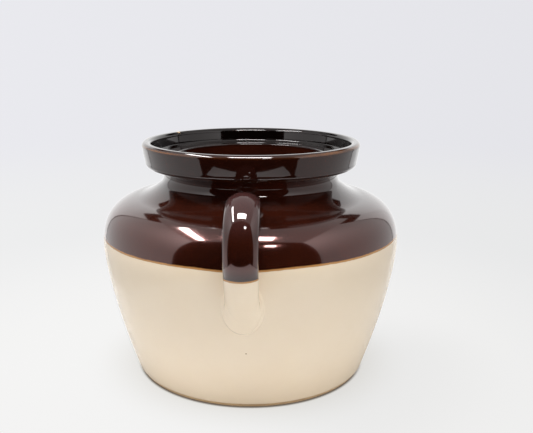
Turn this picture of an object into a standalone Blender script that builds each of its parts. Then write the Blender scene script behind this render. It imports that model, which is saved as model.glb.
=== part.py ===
"""A two-tone stoneware crock with one ear handle, as the clay pieces that are luted together before firing.

Metres, +Z up. The origin is the centre of the foot, on the surface that the crock stands on, and the
handle points along -Y. Every turned piece is a profile of (radius, height) points, swept about Z.
"""

import math

import bmesh
import bpy
from mathutils import Matrix, Vector

MM = 0.001

# Driving dimensions
BELLY_RADIUS = 102.6 * MM
BELLY_HEIGHT = 91.0 * MM
FOOT_RADIUS = 81.0 * MM
SHOULDER_HEIGHT = 122.6 * MM
COLLAR_HEIGHT = 142.5 * MM
RIM_HEIGHT = 159.4 * MM
RIM_RADIUS = 74.9 * MM
SEAM_HEIGHT = 97.0 * MM
SEAT_HEIGHT = 149.4 * MM
WALL = 7.0 * MM

# Shape of the turned body
WALL_CURVE = 1.45
SHOULDER_CURVE_R = 0.595
SHOULDER_CURVE_Z = 0.85
SHOULDER_MIDDLE = 59.1 * MM
BORE_RADIUS = 52.6 * MM
BORE_ROUNDING = 5.0 * MM
SEAM_BEVEL = 3.0 * MM

# Neck: a round groove under the collar, then a flare that runs out onto the shoulder
GROOVE_CENTRE = (67.0 * MM, 135.2 * MM)
GROOVE_RADIUS = 6.4 * MM
GROOVE_TOP = 120
GROOVE_FOOT = 230
NECK_FLANGE = 66.8 * MM
NECK_FOOT = GROOVE_CENTRE[1] + GROOVE_RADIUS * math.sin(math.radians(GROOVE_FOOT))
FLARE_RADIUS = 79.0 * MM
FLARE_PULL = 6.0 * MM

# Foot and floor
FOOT_EDGE = 1.2 * MM
FLOOR_HEIGHT = 9.0 * MM
FLOOR_CORNER = 11.0 * MM

# Collar
COLLAR_FOOT_RADIUS = 73.0 * MM
COLLAR_WALL = 6.3 * MM
COLLAR_EDGE = 3.5 * MM
COLLAR_INSIDE_LEAN = 0.12
LIP_ROUNDING = 3.0 * MM
SEAT_EDGE = 1.5 * MM

# Handle: a wide arc from the shoulder over the top, a closer one down the front, then a run into the wall
HANDLE_WIDTH = 20.2 * MM
HANDLE_THICKNESS = 12.4 * MM
TOP_CENTRE = (95.1 * MM, 110.2 * MM)
TOP_RADIUS = 25.2 * MM
FRONT_RADIUS = 18.0 * MM
LOOP_START = 165
LOOP_TURN = 45
LOOP_END = -22
LOWER_END = (92.0 * MM, 62.0 * MM)
LOWER_PULL = 20.0 * MM

# Clay pressed round each end of the handle: centre, then half sizes across, outwards and upwards
UPPER_ROOT = ((0.0, -73.5 * MM, 122.4 * MM), (11.8 * MM, 10.5 * MM, 6.2 * MM))
LOWER_ROOT = ((0.0, -98.7 * MM, 72.8 * MM), (12.6 * MM, 7.0 * MM, 14.5 * MM))

# Clearance between pieces, where the slip is
SLIP = 0.3 * MM

# Fineness
TURNS = 64
WALL_STEPS = 7
SHOULDER_STEPS = 8
ROUND_STEPS = 3
GROOVE_STEPS = 5
FLARE_STEPS = 4
TOP_STEPS = 13
FRONT_STEPS = 8
LOWER_STEPS = 10
HANDLE_SIDES = 3


def clear_scene():
    for thing in list(bpy.data.objects):
        bpy.data.objects.remove(thing)


def new_collection(name):
    collection = bpy.data.collections.new(name)
    bpy.context.scene.collection.children.link(collection)
    return collection


def glaze(name, colour, roughness):
    material = bpy.data.materials.new(name)
    material.use_nodes = True
    shader = material.node_tree.nodes["Principled BSDF"]
    shader.inputs["Base Color"].default_value = (*colour, 1.0)
    shader.inputs["Roughness"].default_value = roughness
    shader.inputs["Metallic"].default_value = 0.0
    return material


def arc(centre, radius, start, end, steps=ROUND_STEPS):
    """Points of a round stretch of a profile, from one angle to another in degrees."""
    points = []
    for i in range(steps + 1):
        angle = math.radians(start + (end - start) * i / steps)
        points.append((centre[0] + radius * math.cos(angle), centre[1] + radius * math.sin(angle)))
    return points


def wall_radius(height):
    """Outside radius of the body between the foot and the belly."""
    below = (BELLY_HEIGHT - height) / BELLY_HEIGHT
    return BELLY_RADIUS - (BELLY_RADIUS - FOOT_RADIUS) * below**WALL_CURVE


def shoulder_point(turn, inset=0.0):
    """Point on the shoulder, from turn 0 at the belly to 1 at its middle, inset from its outside."""
    angle = turn * math.pi / 2
    middle = SHOULDER_MIDDLE if inset == 0.0 else BORE_RADIUS
    reach = BELLY_RADIUS - inset - middle
    rise = SHOULDER_HEIGHT - inset - BELLY_HEIGHT
    across = max(math.cos(angle), 0.0) ** SHOULDER_CURVE_R
    up = math.sin(angle) ** SHOULDER_CURVE_Z
    return (middle + reach * across, BELLY_HEIGHT + rise * up)


def turn_at_height(height, inset=0.0):
    """The turn at which shoulder_point is at this height."""
    share = (height - BELLY_HEIGHT) / (SHOULDER_HEIGHT - inset - BELLY_HEIGHT)
    return math.asin(share ** (1 / SHOULDER_CURVE_Z)) / (math.pi / 2)


def turn_at_radius(radius, inset=0.0):
    """The turn at which shoulder_point is at this radius."""
    middle = SHOULDER_MIDDLE if inset == 0.0 else BORE_RADIUS
    share = (radius - middle) / (BELLY_RADIUS - inset - middle)
    return math.acos(share ** (1 / SHOULDER_CURVE_R)) / (math.pi / 2)


def shoulder_run(first, last, steps, inset=0.0):
    """Points along the shoulder from one turn to another, without the first."""
    return [shoulder_point(first + (last - first) * i / steps, inset) for i in range(1, steps + 1)]


def wall_run(steps=WALL_STEPS):
    """Outside points of the wall, from the belly down to just above the foot's edge."""
    heights = [BELLY_HEIGHT + (FOOT_EDGE - BELLY_HEIGHT) * i / steps for i in range(steps + 1)]
    return [(wall_radius(height), height) for height in heights]


def unit(x, y):
    length = math.hypot(x, y)
    return (x / length, y / length)


def groove():
    """The neck's outside, from under the collar down to its foot."""
    return arc(GROOVE_CENTRE, GROOVE_RADIUS, GROOVE_TOP, GROOVE_FOOT, GROOVE_STEPS)


def flare(steps=FLARE_STEPS):
    """A curve from the neck's foot down onto the shoulder, tangent to both."""
    turn = turn_at_radius(FLARE_RADIUS)
    start = groove()[-1]
    end = shoulder_point(turn)
    beyond = shoulder_point(turn - 0.001)
    foot = math.radians(GROOVE_FOOT)
    leaves = (-math.sin(foot), math.cos(foot))
    lands = unit(beyond[0] - end[0], beyond[1] - end[1])
    first = (start[0] + FLARE_PULL * leaves[0], start[1] + FLARE_PULL * leaves[1])
    second = (end[0] - FLARE_PULL * lands[0], end[1] - FLARE_PULL * lands[1])
    points = []
    for i in range(steps + 1):
        t = i / steps
        weights = ((1 - t) ** 3, 3 * t * (1 - t) ** 2, 3 * t**2 * (1 - t), t**3)
        corners = (start, first, second, end)
        points.append(tuple(sum(w * corner[k] for w, corner in zip(weights, corners)) for k in (0, 1)))
    return points


def outside_down():
    """The body's outside from the neck's waist to the foot, as one run."""
    waist = (GROOVE_CENTRE[0] - GROOVE_RADIUS, GROOVE_CENTRE[1])
    run = [(waist[0], COLLAR_HEIGHT - SLIP)]
    run += arc(GROOVE_CENTRE, GROOVE_RADIUS, 180, GROOVE_FOOT, GROOVE_STEPS)
    run += flare(2 * FLARE_STEPS)[1:]
    run += shoulder_run(turn_at_radius(FLARE_RADIUS), 0.0, 2 * SHOULDER_STEPS)
    run += wall_run(2 * WALL_STEPS)[1:]
    run += [(FOOT_RADIUS - FOOT_EDGE, 0.0)]
    return run


def turned(name, profile, closed, collection, material=None):
    """A solid of revolution. The profile runs up its inside and down its outside."""
    mesh = bpy.data.meshes.new(name)
    count = len(profile)
    edges = [(i, i + 1) for i in range(count - 1)]
    if closed:
        edges.append((count - 1, 0))
    mesh.from_pydata([(radius, 0.0, height) for radius, height in profile], edges, [])
    piece = bpy.data.objects.new(name, mesh)
    collection.objects.link(piece)
    screw = piece.modifiers.new("Turn", "SCREW")
    screw.axis = "Z"
    screw.steps = TURNS
    screw.render_steps = TURNS
    screw.use_merge_vertices = True
    screw.merge_threshold = 0.00001
    screw.use_smooth_shade = True
    if material:
        mesh.materials.append(material)
    return piece


def lower_bowl(collection, material):
    """Flat floor and wall, up to the bevelled seam at the glaze line."""
    inner = BELLY_RADIUS - WALL
    corner = (wall_radius(FLOOR_HEIGHT + FLOOR_CORNER) - WALL - FLOOR_CORNER, FLOOR_HEIGHT + FLOOR_CORNER)
    heights = [corner[1] + (BELLY_HEIGHT - corner[1]) * i / WALL_STEPS for i in range(1, WALL_STEPS)]
    profile = [(0.0, FLOOR_HEIGHT)]
    profile += arc(corner, FLOOR_CORNER, -90, 0, 4)
    profile += [(wall_radius(height) - WALL, height) for height in heights]
    profile += [(inner, BELLY_HEIGHT)]
    profile += shoulder_run(0.0, turn_at_height(SEAM_HEIGHT + SEAM_BEVEL, WALL), 2, WALL)
    profile += [shoulder_point(turn_at_height(SEAM_HEIGHT))]
    profile += shoulder_run(turn_at_height(SEAM_HEIGHT), 0.0, 2)
    profile += wall_run()[1:]
    profile += [(FOOT_RADIUS - FOOT_EDGE, 0.0), (0.0, 0.0)]
    return turned("lower_bowl", profile, False, collection, material)


def shoulder(collection, material):
    """The dome from the seam up to the foot of the neck, with its bore."""
    outer_seam = turn_at_height(SEAM_HEIGHT + SLIP)
    inner_seam = turn_at_height(SEAM_HEIGHT + SEAM_BEVEL + SLIP, WALL)
    under_bore = turn_at_radius(BORE_RADIUS + BORE_ROUNDING, WALL)
    ceiling = SHOULDER_HEIGHT - WALL
    profile = [shoulder_point(inner_seam, WALL)]
    profile += shoulder_run(inner_seam, under_bore, SHOULDER_STEPS, WALL)
    profile += arc((BORE_RADIUS + BORE_ROUNDING, ceiling + BORE_ROUNDING), BORE_ROUNDING, 270, 180)[1:]
    profile += [(BORE_RADIUS, NECK_FOOT - SLIP), (groove()[-1][0], NECK_FOOT - SLIP)]
    profile += flare()[1:]
    profile += shoulder_run(turn_at_radius(FLARE_RADIUS), outer_seam, SHOULDER_STEPS)
    return turned("shoulder", profile, True, collection, material)


def neck(collection, material):
    """The waisted ring between the shoulder and the collar."""
    top = COLLAR_HEIGHT - SLIP
    profile = [(BORE_RADIUS, NECK_FOOT), (BORE_RADIUS, top), (NECK_FLANGE, top)]
    profile += groove()
    return turned("neck", profile, True, collection, material)


def collar(collection, material):
    """The rim: an upright wall round a flat ledge that a lid would rest on."""
    inside_top = RIM_RADIUS - COLLAR_WALL
    seat_outer = inside_top - COLLAR_INSIDE_LEAN * (RIM_HEIGHT - LIP_ROUNDING - SEAT_HEIGHT)
    profile = [(BORE_RADIUS, COLLAR_HEIGHT)]
    profile += arc((BORE_RADIUS + SEAT_EDGE, SEAT_HEIGHT - SEAT_EDGE), SEAT_EDGE, 180, 90, 2)
    profile += arc((seat_outer - SEAT_EDGE, SEAT_HEIGHT + SEAT_EDGE), SEAT_EDGE, 270, 360, 2)
    profile += arc((inside_top + LIP_ROUNDING, RIM_HEIGHT - LIP_ROUNDING), LIP_ROUNDING, 180, 90)
    profile += arc((RIM_RADIUS - LIP_ROUNDING, RIM_HEIGHT - LIP_ROUNDING), LIP_ROUNDING, 90, 0)
    profile += arc((COLLAR_FOOT_RADIUS - COLLAR_EDGE, COLLAR_HEIGHT + COLLAR_EDGE), COLLAR_EDGE, 0, -90)
    return turned("collar", profile, True, collection, material)


def handle_line():
    """Centre line of the handle: the loop's two arcs, then a curve that leaves them along their tangent."""
    turn = math.radians(LOOP_TURN)
    leave = math.radians(LOOP_END)
    shift = TOP_RADIUS - FRONT_RADIUS
    front_centre = (TOP_CENTRE[0] + shift * math.cos(turn), TOP_CENTRE[1] + shift * math.sin(turn))
    loop = arc(TOP_CENTRE, TOP_RADIUS, LOOP_START, LOOP_TURN, TOP_STEPS)
    loop += arc(front_centre, FRONT_RADIUS, LOOP_TURN, LOOP_END, FRONT_STEPS)[1:]
    line = [Vector((0.0, -out, up)) for out, up in loop]
    start = line[-1]
    bend = start + Vector((0.0, -math.sin(leave), -math.cos(leave))) * LOWER_PULL
    end = Vector((0.0, -LOWER_END[0], LOWER_END[1]))
    for i in range(1, LOWER_STEPS + 1):
        t = i / LOWER_STEPS
        line.append(start * (1 - t) ** 2 + bend * 2 * t * (1 - t) + end * t**2)
    return line


def handle_bar(name, swell, collection, material=None):
    """The handle as a mesh: a round bar of its thickness along its line, widened across to an oval."""
    line = handle_line()
    curve = bpy.data.curves.new(name, "CURVE")
    curve.dimensions = "3D"
    curve.bevel_depth = HANDLE_THICKNESS / 2 + swell
    curve.bevel_resolution = HANDLE_SIDES
    curve.use_fill_caps = True
    spline = curve.splines.new("POLY")
    spline.points.add(len(line) - 1)
    for point, place in zip(spline.points, line):
        point.co = (*place, 1.0)
    guide = bpy.data.objects.new(name + "_line", curve)
    collection.objects.link(guide)
    bpy.context.view_layer.update()
    graph = bpy.context.evaluated_depsgraph_get()
    mesh = bpy.data.meshes.new_from_object(guide.evaluated_get(graph))
    bpy.data.objects.remove(guide)
    widen = (HANDLE_WIDTH / 2 + swell) / (HANDLE_THICKNESS / 2 + swell)
    mesh.transform(Matrix.Diagonal((widen, 1.0, 1.0, 1.0)))
    shape = bmesh.new()
    shape.from_mesh(mesh)
    bmesh.ops.remove_doubles(shape, verts=shape.verts, dist=0.00001)
    shape.to_mesh(mesh)
    shape.free()
    mesh.name = name
    mesh.shade_smooth()
    piece = bpy.data.objects.new(name, mesh)
    collection.objects.link(piece)
    if material:
        mesh.materials.clear()
        mesh.materials.append(material)
    return piece


def root(name, place, collection, material):
    """The clay pressed round one end of the handle, as an oval pad."""
    centre, half_sizes = place
    bpy.ops.mesh.primitive_uv_sphere_add(segments=28, ring_count=16, radius=1.0)
    piece = bpy.context.active_object
    piece.name = name
    piece.data.name = name
    piece.data.transform(Matrix.Diagonal((*half_sizes, 1.0)))
    piece.location = centre
    for owner in list(piece.users_collection):
        owner.objects.unlink(piece)
    collection.objects.link(piece)
    piece.data.materials.append(material)
    piece.data.shade_smooth()
    return piece


def cut(piece, cutter):
    boolean = piece.modifiers.new("Cut by " + cutter.name, "BOOLEAN")
    boolean.operation = "DIFFERENCE"
    boolean.solver = "EXACT"
    boolean.object = cutter


def helper(piece):
    piece.hide_render = True
    piece.display_type = "WIRE"
    return piece


def body_cutter(collection):
    """The body's outside, swollen by the slip's thickness, as one solid."""
    swollen = [(radius + SLIP, height + SLIP) for radius, height in outside_down()]
    top = swollen[0][1]
    profile = [(0.0, top)] + swollen + [(0.0, swollen[-1][1])]
    return helper(turned("body_cutter", profile, False, collection))


def build():
    clear_scene()
    parts = new_collection("crock")
    cutters = new_collection("cutters")
    brown = glaze("brown_glaze", (0.075, 0.018, 0.010), 0.08)
    cream = glaze("cream_glaze", (0.74, 0.60, 0.42), 0.25)

    lower_bowl(parts, cream)
    shoulder(parts, brown)
    neck(parts, brown)
    collar(parts, brown)

    body = body_cutter(cutters)
    grip = helper(handle_bar("grip_cutter", SLIP, cutters))

    handle = handle_bar("handle", 0.0, parts, brown)
    cut(handle, body)
    for name, place, material in (
        ("handle_upper_root", UPPER_ROOT, brown),
        ("handle_lower_root", LOWER_ROOT, cream),
    ):
        pad = root(name, place, parts, material)
        cut(pad, body)
        cut(pad, grip)


build()
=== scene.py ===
"""The butter crock as it looks: glazed stoneware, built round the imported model.

Every piece stands for the CAD nodes of the same place, in metres, in the frame's own axes: +Z up, the
origin at the centre of the foot and the handle along -Y. The body is one outline of (radius, height)
points turned about Z and then divided into its pieces, so that they share one unbroken glazed surface.
The handle is a loft whose strands run out onto the body at both ends. The stage is a pale floor with a
light tent round the crock, which only the crock's gloss and the light on it show.
"""

import math

import bpy
import numpy as np
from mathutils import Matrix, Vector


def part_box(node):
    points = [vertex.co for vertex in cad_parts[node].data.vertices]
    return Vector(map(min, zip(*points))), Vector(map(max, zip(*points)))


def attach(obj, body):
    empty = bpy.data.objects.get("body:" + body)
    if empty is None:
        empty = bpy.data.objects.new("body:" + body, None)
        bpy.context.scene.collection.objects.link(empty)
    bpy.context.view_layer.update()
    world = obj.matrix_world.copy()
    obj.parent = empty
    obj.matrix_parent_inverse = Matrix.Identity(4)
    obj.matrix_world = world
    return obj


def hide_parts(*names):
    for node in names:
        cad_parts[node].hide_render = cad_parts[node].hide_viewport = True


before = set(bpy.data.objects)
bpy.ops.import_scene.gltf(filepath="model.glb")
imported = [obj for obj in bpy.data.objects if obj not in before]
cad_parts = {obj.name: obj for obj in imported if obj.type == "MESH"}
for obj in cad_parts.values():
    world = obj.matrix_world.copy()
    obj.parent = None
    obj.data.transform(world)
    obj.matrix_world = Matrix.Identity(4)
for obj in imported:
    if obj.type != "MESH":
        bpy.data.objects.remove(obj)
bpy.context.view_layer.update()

MM = 0.001

# Sizes that the frame gives
BELLY_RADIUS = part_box("lower_bowl")[1].x
SEAM_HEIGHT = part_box("shoulder")[0].z
NECK_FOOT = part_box("neck")[0].z
COLLAR_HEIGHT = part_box("collar")[0].z
RIM_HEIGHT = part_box("collar")[1].z
RIM_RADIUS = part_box("collar")[1].x

# The rest of the body's shape, which the CAD solids have too: radii and heights of its outline
BELLY_HEIGHT = 91.0 * MM
FOOT_RADIUS = 81.0 * MM
SHOULDER_HEIGHT = 122.6 * MM
SHOULDER_MIDDLE = 59.1 * MM
WALL = 7.0 * MM
WALL_CURVE = 1.45
SHOULDER_CURVE_R = 0.595
SHOULDER_CURVE_Z = 0.85
GROOVE_CENTRE = (67.0 * MM, 135.2 * MM)
GROOVE_RADIUS = 6.4 * MM
GROOVE_TOP = 120
GROOVE_FOOT = 230
NECK_FLANGE = 66.8 * MM
FLARE_RADIUS = 79.0 * MM
FLARE_PULL = 6.0 * MM
BORE_RADIUS = 52.6 * MM
BORE_ROUNDING = 5.0 * MM
FLOOR_HEIGHT = 9.0 * MM
FLOOR_CORNER = 11.0 * MM
SEAT_HEIGHT = 149.4 * MM
SEAT_EDGE = 0.8 * MM
SEAT_CORNER = 1.8 * MM
COLLAR_FOOT_RADIUS = 73.0 * MM
COLLAR_WALL = 6.3 * MM
COLLAR_EDGE = 3.5 * MM
COLLAR_BULGE = 0.12 * MM
COLLAR_INSIDE_LEAN = 0.12
LIP_ROUNDING = 2.6 * MM
SEAM_BEVEL = 3.0 * MM

# Foot: a bare ring to stand on, round a shallow glazed hollow
FOOT_EDGE = 1.4 * MM
FOOT_RING = 9.0 * MM
FOOT_HOLLOW = 1.2 * MM
GLAZE_STOP = 2.6 * MM
GLAZE_COAT = 0.25 * MM

# Handle: a strap whose centre line is two arcs and a curve, in (distance out from the axis, height)
HANDLE_HALF_WIDTH = 10.25 * MM
HANDLE_LOW_HALF_WIDTH = 9.8 * MM
HANDLE_HALF_THICKNESS = 6.2 * MM
HANDLE_ASIDE = -0.2 * MM
HANDLE_CROWN = 1.15
TOP_RADIUS = 25.2 * MM
FRONT_RADIUS = 20.0 * MM
FRONT_CENTRE = (98.3 * MM, 109.8 * MM)
LOOP_START = math.radians(172)
LOOP_TURN = math.radians(0)
LOOP_END = math.radians(-25)
LOWER_END = (92.0 * MM, 62.0 * MM)
LOWER_PULL = 20.0 * MM
LOWER_RUN_ON = 8.0 * MM
STRANDS = 72
STRAND_POINTS = 150
ROOT_STEPS = 12
SUNK = 0.04 * MM
CAP_DEPTH = 1.2 * MM

# How far each root's fillet reaches along the strap and over the body, and how high its edge stands:
# on the outer face, the sides and the inner face
UPPER_ROOT = (
    (4.0 * MM, 2.0 * MM, 0.1 * MM),
    (4.5 * MM, 2.2 * MM, 0.1 * MM),
    (4.0 * MM, 2.5 * MM, 0.1 * MM),
)
LOWER_ROOT = (
    (9.0 * MM, 1.8 * MM, 1.3 * MM),
    (16.0 * MM, 1.3 * MM, 1.1 * MM),
    (9.0 * MM, 2.5 * MM, 0.4 * MM),
)
EDGE_STEPS = 8
EDGE_WIDTH = 2.0 * MM

# Hand-turned clay is never quite round: lobes about the axis, the height over which they turn by one
# radian of their wave, their size and their phase
WOBBLE = ((2, 0.09, 0.10 * MM, 1.1), (3, -0.05, 0.07 * MM, -0.7), (5, 0.03, 0.05 * MM, 0.0))

# How far the collar sits off the body's axis
COLLAR_ASIDE = 0.3 * MM

# Fineness: points round the body, along its outline and along its arcs, and the steps of its curves
TURNS = 256
FINE = 0.9 * MM
ARC_STEP = 3.0
SHOULDER_STEPS = 2000
WALL_STEPS = 400
FACE_STEPS = 60
FLARE_STEPS = 100
HANDLE_STEPS = 200
HANDLE_SPACING = 0.25 * MM
SAME_POINT = 0.02 * MM
ON_AXIS = 0.001 * MM

# Where the glazes meet: the line's slope, its sag in front, how it wanders, and the thin band along it
LINE_TILT = 0.010
LINE_SAG = 1.0 * MM
LINE_SAG_WIDTH = 34.0 * MM
LINE_WANDER = 1.6 * MM
LINE_RAGGED = 0.5 * MM
LINE_STEP = 0.12 * MM
BAND = 1.1 * MM
BAND_WAVE = 1.2 * MM


# ---------------------------------------------------------------- outline


def unit(vectors):
    length = np.linalg.norm(vectors, axis=-1, keepdims=True)
    return vectors / np.maximum(length, 1e-12)


def arc(centre, radius, start, end):
    """Points of a round stretch of the outline, from one angle to another in degrees."""
    steps = max(3, round(abs(end - start) / ARC_STEP))
    points = []
    for i in range(steps + 1):
        angle = math.radians(start + (end - start) * i / steps)
        points.append((centre[0] + radius * math.cos(angle), centre[1] + radius * math.sin(angle)))
    return points


def even(points, spacing=FINE):
    """The same line with points at an even spacing along it, both ends kept."""
    line = np.array(points)
    along = np.concatenate([[0.0], np.cumsum(np.linalg.norm(np.diff(line, axis=0), axis=1))])
    steps = max(2, round(along[-1] / spacing))
    wanted = np.linspace(0.0, along[-1], steps + 1)
    return list(zip(np.interp(wanted, along, line[:, 0]), np.interp(wanted, along, line[:, 1])))


def shares(count):
    """The shares from 0 to 1 of a number of equal steps."""
    return [i / count for i in range(count + 1)]


def wall_radius(height):
    """Outside radius of the body between the foot and the belly."""
    below = max(0.0, (BELLY_HEIGHT - height) / BELLY_HEIGHT)
    return BELLY_RADIUS - (BELLY_RADIUS - FOOT_RADIUS) * below**WALL_CURVE


def shoulder_point(turn, inset=0.0):
    """Point on the shoulder, from turn 0 at the belly to 1 at its middle, inset from its outside."""
    angle = turn * math.pi / 2
    middle = SHOULDER_MIDDLE if inset == 0.0 else BORE_RADIUS
    reach = BELLY_RADIUS - inset - middle
    rise = SHOULDER_HEIGHT - inset - BELLY_HEIGHT
    across = max(math.cos(angle), 0.0) ** SHOULDER_CURVE_R
    up = math.sin(angle) ** SHOULDER_CURVE_Z
    return (middle + reach * across, BELLY_HEIGHT + rise * up)


def turn_at_height(height, inset=0.0):
    """The turn at which shoulder_point is at this height."""
    share = (height - BELLY_HEIGHT) / (SHOULDER_HEIGHT - inset - BELLY_HEIGHT)
    return math.asin(share ** (1 / SHOULDER_CURVE_Z)) / (math.pi / 2)


def turn_at_radius(radius, inset=0.0):
    """The turn at which shoulder_point is at this radius."""
    middle = SHOULDER_MIDDLE if inset == 0.0 else BORE_RADIUS
    share = (radius - middle) / (BELLY_RADIUS - inset - middle)
    return math.acos(share ** (1 / SHOULDER_CURVE_R)) / (math.pi / 2)


def shoulder_run(first, last, inset=0.0):
    """Even points along the shoulder from one turn to another."""
    return even([shoulder_point(first + (last - first) * t, inset) for t in shares(SHOULDER_STEPS)])


def wall_run(high, low, inset=0.0):
    """Even points along the wall between two heights."""
    heights = [high + (low - high) * t for t in shares(WALL_STEPS)]
    return even([(wall_radius(height) - inset, height) for height in heights])


def bowl_inside():
    corner = (wall_radius(FLOOR_HEIGHT + FLOOR_CORNER) - WALL - FLOOR_CORNER, FLOOR_HEIGHT + FLOOR_CORNER)
    seam = turn_at_height(SEAM_HEIGHT + SEAM_BEVEL, WALL)
    run = even([(0.0, FLOOR_HEIGHT), (corner[0], FLOOR_HEIGHT)], 4 * FINE)
    run += arc(corner, FLOOR_CORNER, -90, 0)
    run += wall_run(FLOOR_HEIGHT + FLOOR_CORNER, BELLY_HEIGHT, WALL)
    run += shoulder_run(0.0, seam, WALL)
    return run


def shoulder_inside():
    seam = turn_at_height(SEAM_HEIGHT + SEAM_BEVEL, WALL)
    under_bore = turn_at_radius(BORE_RADIUS + BORE_ROUNDING, WALL)
    ceiling = SHOULDER_HEIGHT - WALL
    run = shoulder_run(seam, under_bore, WALL)
    run += arc((BORE_RADIUS + BORE_ROUNDING, ceiling + BORE_ROUNDING), BORE_ROUNDING, 270, 180)
    run += even([(BORE_RADIUS, ceiling + BORE_ROUNDING), (BORE_RADIUS, NECK_FOOT)])
    return run


def neck_inside():
    return even([(BORE_RADIUS, NECK_FOOT), (BORE_RADIUS, COLLAR_HEIGHT)])


def collar_face(top, foot):
    """The collar's slightly bulging outside, from under the lip to its lower edge."""
    points = []
    for t in shares(FACE_STEPS):
        bulge = COLLAR_BULGE * math.sin(math.pi * t)
        points.append((top[0] + (foot[0] - top[0]) * t + bulge, top[1] + (foot[1] - top[1]) * t))
    return even(points)


def collar_run():
    """From the bore over the lid's ledge and the lip, down the outside, to the top of the neck."""
    foot = (COLLAR_FOOT_RADIUS, COLLAR_HEIGHT + COLLAR_EDGE)
    top = (RIM_RADIUS, RIM_HEIGHT - LIP_ROUNDING)
    inside_top = RIM_RADIUS - COLLAR_WALL
    ledge_end = inside_top - COLLAR_INSIDE_LEAN * (top[1] - SEAT_HEIGHT)
    run = even([(BORE_RADIUS, COLLAR_HEIGHT), (BORE_RADIUS, SEAT_HEIGHT - SEAT_EDGE)])
    run += arc((BORE_RADIUS + SEAT_EDGE, SEAT_HEIGHT - SEAT_EDGE), SEAT_EDGE, 180, 90)
    run += even([(BORE_RADIUS + SEAT_EDGE, SEAT_HEIGHT), (ledge_end - SEAT_CORNER, SEAT_HEIGHT)])
    run += arc((ledge_end - SEAT_CORNER, SEAT_HEIGHT + SEAT_CORNER), SEAT_CORNER, 270, 360)
    run += even([(ledge_end, SEAT_HEIGHT + SEAT_CORNER), (inside_top, top[1])])
    run += arc((inside_top + LIP_ROUNDING, top[1]), LIP_ROUNDING, 180, 90)
    run += arc((top[0] - LIP_ROUNDING, top[1]), LIP_ROUNDING, 90, 0)
    run += collar_face(top, foot)
    run += arc((foot[0] - COLLAR_EDGE, foot[1]), COLLAR_EDGE, 0, -90)
    run += even([(foot[0] - COLLAR_EDGE, COLLAR_HEIGHT), (NECK_FLANGE, COLLAR_HEIGHT)])
    return run


def neck_outside():
    groove = arc(GROOVE_CENTRE, GROOVE_RADIUS, GROOVE_TOP, GROOVE_FOOT)
    return even([(NECK_FLANGE, COLLAR_HEIGHT), groove[0]]) + groove


def flare():
    """A curve from the neck's foot down onto the shoulder, tangent to both."""
    turn = turn_at_radius(FLARE_RADIUS)
    foot = math.radians(GROOVE_FOOT)
    start = np.array(neck_outside()[-1])
    end = np.array(shoulder_point(turn))
    leaves = np.array((-math.sin(foot), math.cos(foot)))
    lands = unit(np.array(shoulder_point(turn - 0.001)) - end)
    first = start + FLARE_PULL * leaves
    second = end - FLARE_PULL * lands
    points = []
    for t in shares(FLARE_STEPS):
        weights = ((1 - t) ** 3, 3 * t * (1 - t) ** 2, 3 * t**2 * (1 - t), t**3)
        points.append(tuple(sum(w * corner for w, corner in zip(weights, (start, first, second, end)))))
    return even(points)


def shoulder_outside():
    return flare() + shoulder_run(turn_at_radius(FLARE_RADIUS), turn_at_height(SEAM_HEIGHT))


def bowl_outside():
    return shoulder_run(turn_at_height(SEAM_HEIGHT), 0.0) + wall_run(BELLY_HEIGHT, GLAZE_STOP)


def foot_edge():
    """Bare clay from where the glaze stops, round the foot's edge and across the ring it stands on."""
    bare = wall_radius(GLAZE_STOP) - GLAZE_COAT
    run = [(wall_radius(GLAZE_STOP), GLAZE_STOP), (bare, GLAZE_STOP - GLAZE_COAT)]
    run += arc((FOOT_RADIUS - GLAZE_COAT - FOOT_EDGE, FOOT_EDGE), FOOT_EDGE, 0, -90)
    run += even([(FOOT_RADIUS - GLAZE_COAT - FOOT_EDGE, 0.0), (FOOT_RADIUS - FOOT_RING, 0.0)])
    return run


def foot_hollow():
    inner = FOOT_RADIUS - FOOT_RING
    run = even([(inner, 0.0), (inner - 2 * FOOT_HOLLOW, FOOT_HOLLOW)], FINE / 2)
    run += even([(inner - 2 * FOOT_HOLLOW, FOOT_HOLLOW), (0.0, FOOT_HOLLOW)], 4 * FINE)
    return run


STRETCHES = (
    ("bowl_inside", bowl_inside(), "inside"),
    ("shoulder_inside", shoulder_inside(), "inside"),
    ("neck_inside", neck_inside(), "inside"),
    ("collar", collar_run(), "collar"),
    ("neck_outside", neck_outside(), "outside"),
    ("shoulder_outside", shoulder_outside(), "outside"),
    ("bowl_outside", bowl_outside(), "outside"),
    ("foot_edge", foot_edge(), "clay"),
    ("foot_hollow", foot_hollow(), "inside"),
)


def whole_outline():
    """The outline as one line without doubled points, each stretch's first and last ring, and the
    finish between each ring and the next."""
    line = []
    finish = []
    spans = {}
    for name, points, surface in STRETCHES:
        first = max(len(line) - 1, 0)
        for point in points:
            if line and math.dist(line[-1], point) < SAME_POINT:
                continue
            if line:
                finish.append(surface)
            line.append(point)
        spans[name] = (first, len(line) - 1)
    return line, spans, finish


# ---------------------------------------------------------------- turned pieces


def wobble(points):
    """The points moved a little, as clay that was turned by hand is never quite round or centred."""
    angle = np.arctan2(points[..., 1], points[..., 0])
    radius = np.hypot(points[..., 0], points[..., 1])
    swell = np.zeros(radius.shape)
    for lobes, rise, size, phase in WOBBLE:
        swell += size * np.sin(lobes * angle + points[..., 2] / rise + phase)
    share = 1 + swell / np.maximum(radius, BELLY_RADIUS / 4)
    moved = points * np.stack([share, share, np.ones(share.shape)], axis=-1)
    up_neck = np.clip((points[..., 2] - SHOULDER_HEIGHT) / (COLLAR_HEIGHT - SHOULDER_HEIGHT), 0, 1)
    moved[..., 0] += COLLAR_ASIDE * up_neck * up_neck * (3 - 2 * up_neck)
    return moved


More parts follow.
